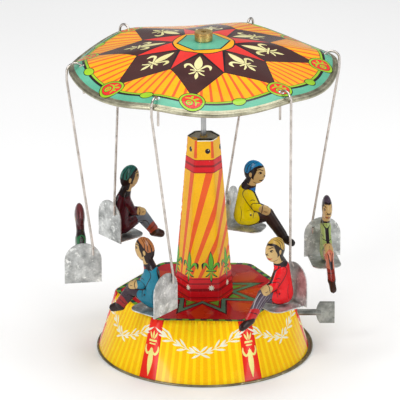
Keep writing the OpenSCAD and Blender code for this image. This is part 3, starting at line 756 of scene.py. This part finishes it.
def tower_r(z):
    return FOOT_R + (TOP_R - FOOT_R) * (z - BASE_H) / (TOWER_TOP - BASE_H)


def on_tower(u, z):
    """u is the direction in degrees times FL, z the height."""
    a = u / FL
    return (*polar(hexagon(a, tower_r(z), TOWER_CR), a + TOWER_TURN), z)


def wrap(shape, a, z):
    """Print coordinates of a shape in millimetres, laid on the tower in direction a at height z."""
    k = FL / (tower_r(z) * 0.95 * math.pi / 180)
    return [(a * FL + x * k, z + y) for x, y in shape]


def patch(c, a0, a1, z0, z1):
    """A rectangle of the print, from direction a0 to a1 and height z0 to z1."""
    return (c, dense([(a0 * FL, z0), (a1 * FL, z0), (a1 * FL, z1), (a0 * FL, z1)], 1.5))


def on_sheet(x, y):
    """Print coordinates of a point of the unrolled tower sheet, x and y from the middle of its foot."""
    faces = math.atan2(x, APEX - y) * APEX / FOOT_R
    across = math.degrees(math.atan((faces - round(faces)) / math.cos(rad(30))))
    r = math.hypot(x, APEX - y) / APEX * FOOT_R
    z = TOWER_TOP - (r - TOP_R) * (TOWER_TOP - BASE_H) / (FOOT_R - TOP_R)
    return ((SEAM + 180 + 60 * round(faces) + across) * FL, z)


def tower_art():
    out = []
    for k in range(-15, 17):
        edges = []
        for d in (3.0, 5.0):
            lean = math.tan(rad(RAY_STEP * k + d))
            edges.append([on_sheet(RAY_X + (y - RAY_Y) * lean, y) for y in range(-6, 125, 3)])
        low, high = (SEAM * FL, RAY_FOOT), ((SEAM + 360) * FL, RAY_HEAD)
        out.append((T_ORANGE, clip(edges[0] + edges[1][::-1], low, high)))
    out += [patch(c, SEAM, SEAM + 360, z0, z1) for c, z0, z1 in BANDS]
    for k in range(FLEURS):
        a = SEAM + 180 + 15.9 + 360 / 7 * (k - 3)
        for col, size, at, wide in ((T_BLACK, 18.8, 0.0, 0.96), (T_GREEN, 16.8, 0.3, 0.86)):
            for part in fleur():
                out.append((col, wrap([(wide * x, y) for x, y in place(part, (0, at), size)], a, FLEUR_Z)))
        out.append((T_WHITE, wrap(star(8, 1.9, 1.0), a, STAR_Z)))
    for k in range(6):
        a = SEAM + 30 + 60 * k
        bar = [((a - 6) * FL, 116.2), ((a + 6) * FL, 116.2), ((a + 5) * FL, 126.4), ((a - 5) * FL, 126.4)]
        out.append((T_ORANGE, dense(bar, 1.5)))
    for k in range(DOTS):
        a = SEAM + 180 + 13.3 + 72 * (k - 2)
        out.append((T_BLACK, wrap(oval(0, 0, DOT_R, DOT_R, 20), a, DOT_Z)))
        # A white glint at the upper right of each dot: a painted highlight.
        out.append((T_WHITE, wrap(oval(0.5, 0.6, 0.35, 0.25, 8), a, DOT_Z)))
    # A thin white band along the top edge, on its front only: a painted highlight on the rim.
    out.append(patch(T_WHITE, SEAM + 155, SEAM + 248, 126.0, 126.58))
    return out


def tower_print():
    low, high = (SEAM * FL, BASE_H), ((SEAM + 360) * FL, TOWER_TOP)
    domain = dense([low, (high[0], low[1]), high, (low[0], high[1])], 0.75)
    corners = {30 + 60 * k + d for k in range(6) for d in range(-5, 6)}
    extra = [((SEAM + a) * FL, z) for a in sorted(set(range(1, 360, 3)) | corners) for z in range(36, 126, 4)]
    points, tris = printed(kept(tower_art(), low, high), extra, domain)
    verts, faces, index, normals = surface_parts(points, tris, on_tower, SHEET, T_UNDER)
    finish_piece("tower_print", verts, faces, T_MATS, index, "base", ["tower_shell"], normals)


def tower_cap():
    """The hexagonal cap: open at its front right, with a yellow tab folded over its left."""
    cap_r, z, far = TOP_R - SHEET / math.cos(rad(30)) - 0.35, TOWER_TOP - CAP_DEPTH, 12
    cap = [polar(cap_r, TOWER_TURN + 60 * k) for k in range(6)]
    gap = [(-OPEN_X, -far), (far, -far), (far, -OPEN_Y), (-OPEN_X, -OPEN_Y)]
    tab = [(-far, -far), (-OPEN_X, -far), (-OPEN_X, -2.4), (-5.4, -1.0), (-far, -0.4)]
    points, tris = printed([(1, tab)], [], dense(cap, 1), [gap, disc(BUSH_HOLE, 48)])
    verts, faces, index, normals = surface_parts(points, tris, lambda x, y: (x, y, z), SHEET, 0)
    mats = [M_CAP, INK["tower_gold"]]
    finish_piece("tower_cap_print", verts, faces, mats, index, "base", ["tower_cap"], normals)


tower_print()
tower_cap()

# ---------------------------------------------------------------- riders
HALF = 3.0
HEAD = (4.0, 34.0)
FACE = (6.66, 7.21)
HEAD_TOP, BLEND = 2.8, 5
# Each limb: its two ends with their radii, and how far it swells out of the seam plane.
# The last two limbs are the arm.
LIMBS = [
    ((-3.2, 5.9), 5.7, (-0.8, 21.5), 5.1, 2.7),
    ((-0.8, 21.5), 5.1, (1.8, 28.1), 3.4, 2.3),
    ((0, 5.1), 4.9, (12, 9.2), 4.1, 2.5),
    ((12, 9.2), 4.0, (21.2, -2.4), 3.1, 2.2),
    ((21.2, -3.6), 2.9, (26.8, -6.4), 2.3, 1.9),
    ((1, 20.6), 3.3, (5.2, 13), 2.8, 2.45),
    ((5.2, 13), 2.7, (11, 12), 2.1, 2.1),
]
ARM, ARM_LIFT = 5, 1.12
SKIN, COAT, DARK, LEGS, SOCK, SHOE, HAIR, HAIR_HIGHLIGHT, EXTRA = range(9)
# Outlines of the hair and of its crown, from the middle of the head. The crown is a lighter colour over the
# top of the dark hair: printed colour and painted highlight in one.
HAIR_LINE = [
    (-3.0, -6.6), (-8, -5.6), (-8.8, 2), (-6.4, 8.4), (0, 9.6), (6, 8), (7.2, 3.4),
    (4.8, 4.0), (2.2, 3.2), (1.4, 0.6), (0.2, -1.6), (-0.2, -3.8), (-1.4, -2.6), (-2.0, -4.6),
]
CROWN_LINE = [
    (-6.6, 0.6), (-6.4, 4.4), (-4.0, 7.4), (0.4, 8.2), (4.6, 6.8),
    (6.4, 4.6), (3.4, 4.9), (0.6, 3.5), (-1.4, 1.6), (-3.8, -0.6),
]
BOW_TIPS = ((2.6, 24.6), (7.4, 25.2), (7.8, 20.4), (6.0, 16.4), (4.0, 17.4))


def near(p, a, ra, b, rb):
    """Distance of a point from the line a to b, as a share of the limb's radius there."""
    dx, dy = b[0] - a[0], b[1] - a[1]
    t = max(0.0, min(1.0, ((p[0] - a[0]) * dx + (p[1] - a[1]) * dy) / (dx * dx + dy * dy)))
    d = math.hypot(p[0] - a[0] - dx * t, p[1] - a[1] - dy * t)
    return d / (ra + (rb - ra) * t)


def swell(x, y):
    """Height of a pressed half over its seam plane."""
    total = 0.0
    for i, (a, ra, b, rb, top) in enumerate(LIMBS):
        q = near((x, y), a, ra, b, rb)
        if q < 1:
            lift = 1.0 if i < ARM else ARM_LIFT
            total += (lift * top * math.sqrt(1 - q * q)) ** BLEND
    q = math.hypot((x - HEAD[0]) / FACE[0], (y - HEAD[1]) / FACE[1])
    if q < 1:
        total += (HEAD_TOP * math.sqrt(1 - q * q)) ** BLEND
    return min(HALF, total ** (1 / BLEND))


def line(*points):
    return (DARK, stroke(list(points)))


def leg_art(look):
    out = [(LEGS, capsule((0, 5), 5.4, (12, 9.2), 4.5)), (LEGS, capsule((12, 9.2), 4.4, (19.4, -0.1), 3.8))]
    out.append(line((2, 4.2, 0.3), (8, 6.2, 0.55), (14.0, 5.4, 0.4), (17, 1.6, 0.25)))
    out.append(line((15.2, 10.6, 0.3), (18.6, 6.4, 0.4), (21.4, 2.6, 0.25)))
    if look.get("pinstripe"):
        for j in range(-2, 3):
            stripe = [(12 + j * 1.5, 9.4 + j, 0.25), (15.8 + j * 1.3, 4.8 + j, 0.25)]
            stripe.append((19 + j, 0.8 + j * 0.8, 0.22))
            out.append((EXTRA, stroke(stripe, 2)))
    out.append((SOCK, capsule((19.6, -0.5), 3.9, (22.2, -3.6), 3.3)))
    out.append((SHOE, capsule((21.6, -5.0), 3.2, (27, -6.4), 3.0)))
    out.append(line((16.6, -1.6, 0.3), (19.4, 0.6, 0.5), (22.6, 1.6, 0.3)))
    out.append(line((18.8, -4.4, 0.3), (22.2, -2.7, 0.6), (25.2, -3.6, 0.3)))
    return out


def coat_art(look):
    out = [
        (COAT, capsule((-3.2, 5.9), 6.4, (-0.8, 21.5), 5.8)),
        (COAT, capsule((-0.8, 21.0), 5.8, (1.4, 25.4), 4.6)),
        (COAT, capsule((-1.5, 5.4), 5.6, (3.2, 6.6), 4.8)),
        line((-7.6, 1.3, 0.35), (-2, 0.8, 0.6), (4.5, 2.2, 0.6), (8.0, 5.4, 0.35)),
        line((4.0, 6.4, 0.3), (4.6, 12, 0.5), (4.2, 19, 0.5), (2.6, 25.4, 0.35)),
        line((-8.6, 4, 0.5), (-8.2, 12, 0.6), (-6.2, 20, 0.6), (-4.4, 26.2, 0.4)),
        line((-3.6, 3.4, 0.2), (-3.0, 8.4, 0.35), (-3.6, 12.6, 0.2)),
    ]
    out += [(DARK, oval(2.6 + 0.2 * j, 8.0 + 4.4 * j, 0.6, 0.6, 10)) for j in range(3)]
    if look.get("lapel"):
        out.append((EXTRA, [(3.2, 14), (5.6, 19.5), (4.4, 26.2), (1.4, 25), (0.8, 20.5)]))
        out.append(line((1.0, 20.6, 0.3), (2.2, 17.0, 0.4), (3.3, 13.8, 0.3)))
    if look.get("bow"):
        out += [(EXTRA, leaf((4.8, 22.0), tip, 2.6, 6, 0.6)) for tip in BOW_TIPS]
    return out


def arm_art():
    return [
        (DARK, capsule((1, 20.6), 3.5, (5.2, 13), 3.1)),
        (COAT, capsule((1, 20.6), 3.05, (5.2, 13), 2.6)),
        (DARK, capsule((5.2, 13), 2.9, (9.4, 12.3), 2.5)),
        (COAT, capsule((5.2, 13.1), 2.45, (9.0, 12.4), 2.05)),
        (SKIN, capsule((9.8, 12.2), 2.4, (12.2, 11.6), 2.2)),
        line((9.0, 9.8, 0.35), (9.6, 12.2, 0.55), (9.6, 14.6, 0.35)),
        line((10.8, 11.6, 0.2), (11.8, 11.3, 0.35), (12.8, 11.3, 0.2)),
        line((2.2, 16.6, 0.2), (3.6, 17.6, 0.45), (5.2, 17.2, 0.2)),
    ]


def head_art():
    """Collar, hair, ear and face, the mouth in the colour of the socks."""
    hx, hy = HEAD
    out = [(DARK, capsule((-1.2, 26.4), 3.0, (4.6, 27.6), 2.6)), (SKIN, oval(hx, hy, 7.6, 8.1, 28))]
    shadow = [(hx + x * 1.04 + 0.35, hy + y * 1.02 - 0.3) for x, y in HAIR_LINE]
    out.append((DARK, dense(shadow, 1.2)))
    # The lighter crown over the hair: printed colour with a painted highlight on the top of the head.
    for col, outline in ((HAIR, HAIR_LINE), (HAIR_HIGHLIGHT, CROWN_LINE)):
        out.append((col, dense([(hx + x, hy + y) for x, y in outline], 1.2)))
    for j in range(3):
        x = hx + 1.9 * j
        strand = [(x - 5.9, hy + 0.2 - 0.1 * j, 0.6), (x - 4.9, hy + 3.6 + 0.4 * j, 0.35)]
        out.append(line(*strand, (x - 1.6, hy + 6.6, 0.2)))
    out.append((SKIN, oval(hx - 1.5, hy - 1.2, 0.95, 1.5, 12)))
    ear = [(hx - 2.2, hy - 0.1, 0.2), (hx - 1.4, hy + 0.5, 0.35), (hx - 0.5, hy - 0.6, 0.3)]
    out.append(line(*ear, (hx - 1.1, hy - 2.4, 0.2)))
    out.append(line((hx + 2.2, hy + 2.0, 0.25), (hx + 3.8, hy + 2.6, 0.55), (hx + 5.8, hy + 1.9, 0.3)))
    out.append((DARK, oval(hx + 4.2, hy + 0.6, 1.0, 0.75, 12)))
    out.append((SKIN, oval(hx + 3.8, hy + 0.5, 0.35, 0.3, 8)))
    out.append(line((hx + 5.9, hy - 0.4, 0.2), (hx + 6.4, hy - 1.6, 0.4), (hx + 5.4, hy - 2.0, 0.2)))
    mouth = [(hx + 3.4, hy - 4.0, 0.3), (hx + 4.6, hy - 4.3, 0.9), (hx + 5.7, hy - 3.8, 0.3)]
    out.append((SOCK, stroke(mouth)))
    out.append(line((hx - 0.2, hy - 5.4, 0.3), (hx + 2.2, hy - 6.6, 0.45), (hx + 4.4, hy - 5.9, 0.3)))
    return out


def rider_cut(look):
    """The flat rider, cut along its clothes. Returns points and (triangle, layer) pairs."""
    solids = [capsule(a, ra, b, rb, 14) for a, ra, b, rb, _ in LIMBS] + [oval(*HEAD, *FACE, 40)]
    grid = [(x * 0.9, y * 0.9 + (x % 2) * 0.45) for x in range(-10, 33) for y in range(-10, 49)]
    extra = [p for p in grid if swell(*p) > 0.35]
    shapes = [(0, s) for s in solids] + leg_art(look) + coat_art(look) + arm_art() + head_art()
    points, faces, owner = cut_flat(shapes, extra)
    return points, [(face, owner[max(ids)]) for face, ids in faces if ids and min(ids) < len(solids)]


def slope(x, y):
    """How steeply a pressed half rises along x and y, held to a limit at its edge."""
    e, limit = 0.12, 2.5
    gx = (swell(x + e, y) - swell(x - e, y)) / (2 * e)
    gy = (swell(x, y + e) - swell(x, y - e)) / (2 * e)
    return max(-limit, min(limit, gx)), max(-limit, min(limit, gy))


def rider_half(k, sign, tag, points, tris, mats):
    """One pressed half: sign -1 towards the spindle, 1 away from it."""
    turn, yaw = rad(HOOK_TURN + 60 * (k - 1)), rad(YAW.get(k, 0.0))

    def place_at(x, y, h):
        q = spin((SEAT_R + sign * h - PIVOT[0], -x - PIVOT[1]), yaw)
        q = (q[0] + PIVOT[0], q[1] + PIVOT[1] + SWAY.get(k, 0.0))
        return (*spin(q, turn), y + (SEAT_Z + SHEET + RIDER_GAP))

    def direction(x, y, h):
        return (*spin(spin((sign * h, -x), yaw), turn), y)

    used = sorted({i for t, _ in tris for i in t})
    new = {o: j for j, o in enumerate(used)}
    verts, normals = [], []
    for i in used:
        gx, gy = slope(*points[i])
        verts.append(place_at(*points[i], swell(*points[i])))
        normals.append(direction(-gx, -gy, 1.0))
    m = len(verts)
    verts += [place_at(*points[i], 0.0) for i in used]
    normals += [direction(0, 0, -1.0) for i in used]
    faces, index = [], []
    for t, layer in tris:
        face = [new[i] for i in t]
        if sign > 0:
            face = face[::-1]
        a, b, c = (Vector(verts[j]) for j in face)
        if (b - a).cross(c - a).dot(Vector(normals[face[0]])) < 0:
            face = face[::-1]
        faces += [face, [j + m for j in reversed(face)]]
        index += [layer, len(mats) - 1]
    name, slot = f"rider_{k}_{tag}", f"rider_{k}"
    finish_piece(name, verts, faces, mats, index, f"swing_{k}", [f"figure_{k}_{tag}"], normals)


def rider(k, look):
    """Both pressed halves of one seated figure, with its own printed clothes."""
    skin, black = ink("skin", "CCAC74", "B8945C"), ink("rider_black", "1E1518", "2A1E20")
    mats = [skin, ink(f"coat_{k}", *look["coat"]), black]
    for part in ("legs", "sock", "shoe", "hair", "hair_highlight", "extra"):
        if part in look:
            mats.append(ink(f"{part}_{k}", *look[part]))
    mats.append(M_UNDER)
    points, tris = rider_cut(look)
    for sign, tag in ((-1, "inner"), (1, "outer")):
        rider_half(k, sign, tag, points, tris, mats)


# Each look's crown colour tints the top of the hair: printed colour with a painted highlight.
LOOKS = {
    1: dict(
        coat=("9CAE66", "8A9E54"), legs=("C8755A", "B4644A"), sock=("8A2A20",), shoe=("3A241C",),
        hair=("2A2024",), hair_highlight=("5A4C5C", "473A48"),
    ),
    2: dict(
        coat=("EAD204", "DABE02"), legs=("3A2A26", "2E211E"), sock=("2C2220",), shoe=("1E1715",),
        hair=("221A18",), hair_highlight=("1A80B4", "1A5C94"), extra=("1E78C8", "1A66AC"), lapel=True, bow=True,
    ),
    3: dict(
        coat=("52101F", "440C1A"), legs=("6A7684", "5A6472"), sock=("9A3A26",), shoe=("3A1C14",),
        hair=("221A1A",), hair_highlight=("2E7468", "22564E"),
    ),
    4: dict(
        coat=("2A7444", "225E38"), legs=("4A2A30",), sock=("8A2A2A",), shoe=("241815",),
        hair=("4E2024", "3C181C"), hair_highlight=("6E3438", "58282C"),
    ),
    5: dict(
        coat=("1C7C94", "166A80"), legs=("3C2A34", "32222C"), sock=("9A2024",), shoe=("2A1818",),
        hair=("281A18",), hair_highlight=("C8824A", "8E5430"), extra=("D82A28",), lapel=True,
    ),
    6: dict(
        coat=("EA141E", "D00E18"), legs=("5A4E5A", "4C414C"), sock=("B81E22",), shoe=("2A1412",),
        hair=("281C14",), hair_highlight=("D2AC52", "A27E34"), extra=("A89CA4",), pinstripe=True,
    ),
}
for number, look in LOOKS.items():
    rider(number, look)

# ---------------------------------------------------------------- CAD nodes that stay, with their metals
STAYS = {
    M_PLATE: ["base_plate"],
    M_KEY: ["key"],
    M_SPRING: ["mainspring", "click_spring"],
    M_BRASS: [
        "tower_bush", "footstep", "great_wheel", "crown_wheel", "spindle_pinion",
        "canopy_washer", "canopy_nut",
    ],
    M_STEEL: [
        "motor_plate_inner", "motor_plate_outer", "motor_pillars", "motor_rivets", "winding_arbor",
        "ratchet_wheel", "click_pin", "click", "second_arbor", "spindle", "canopy_collar",
    ],
    M_WIRE: [f"hanger_{k}" for k in range(1, 7)],
    M_SEAT: [f"seat_{k}" for k in range(1, 7)],
}
for mat, names in STAYS.items():
    for name in names:
        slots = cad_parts[name].data.materials
        slots.clear()
        slots.append(mat)

# ---------------------------------------------------------------- floor, light, camera, in metres
FLOOR_HALF, FLOOR_GLOW, SKY = 6.0, 0.12, 0.3
TILT, DISTANCE, TARGET_Z, LENS, SHIFT_X = 21, 2.52, 0.0881, 405, -0.0090


def studio_floor():
    me = bpy.data.meshes.new("floor")
    w = FLOOR_HALF
    me.from_pydata([(-w, -w, 0), (w, -w, 0), (w, w, 0), (-w, w, 0)], [], [(0, 1, 2, 3)])
    mat, nt, p = nodes_of("floor_white")
    nt.links.new(ramp(nt, grain(nt, 3, 2), (0.3, grey(0.86)), (0.7, grey(0.9))), p.inputs["Base Color"])
    p.inputs["Roughness"].default_value = 0.7
    p.inputs["Emission Color"].default_value = (1, 1, 1, 1)
    p.inputs["Emission Strength"].default_value = FLOOR_GLOW
    me.materials.append(mat)
    floor = bpy.data.objects.new("floor", me)
    bpy.context.scene.collection.objects.link(floor)


def studio_world():
    world = bpy.data.worlds.new("studio")
    world.use_nodes = True
    sky = world.node_tree.nodes["Background"]
    sky.inputs["Color"].default_value = (1, 1, 1, 1)
    sky.inputs["Strength"].default_value = SKY
    bpy.context.scene.world = world


def softbox(name, at, size, power):
    """A rectangular light that faces the middle of the toy."""
    light = bpy.data.lights.new(name, "AREA")
    light.shape = "RECTANGLE"
    light.size, light.size_y = size
    light.energy = power
    ob = bpy.data.objects.new(name, light)
    ob.location = at
    ob.rotation_euler = (Vector((0, 0, 0.09)) - Vector(at)).to_track_quat("-Z", "Y").to_euler()
    bpy.context.scene.collection.objects.link(ob)


def camera():
    cam = bpy.data.cameras.new("camera")
    cam.sensor_width = 36
    cam.lens = LENS
    cam.shift_x = SHIFT_X
    cam.clip_end = 50
    eye = bpy.data.objects.new("camera", cam)
    target = Vector((0, 0, TARGET_Z))
    eye.location = target + Vector((0, -math.cos(rad(TILT)), math.sin(rad(TILT)))) * DISTANCE
    eye.rotation_euler = (target - eye.location).to_track_quat("-Z", "Y").to_euler()
    bpy.context.scene.collection.objects.link(eye)
    bpy.context.scene.camera = eye


studio_floor()
studio_world()
softbox("softbox_left", (-0.75, -0.8, 0.6), (0.4, 0.9), 7.5)
softbox("softbox_right", (0.85, -0.7, 0.5), (0.4, 0.9), 5)
softbox("softbox_top", (0.05, 0.15, 1.3), (1.1, 0.9), 11)
camera()
bpy.context.scene.view_settings.view_transform = "Standard"
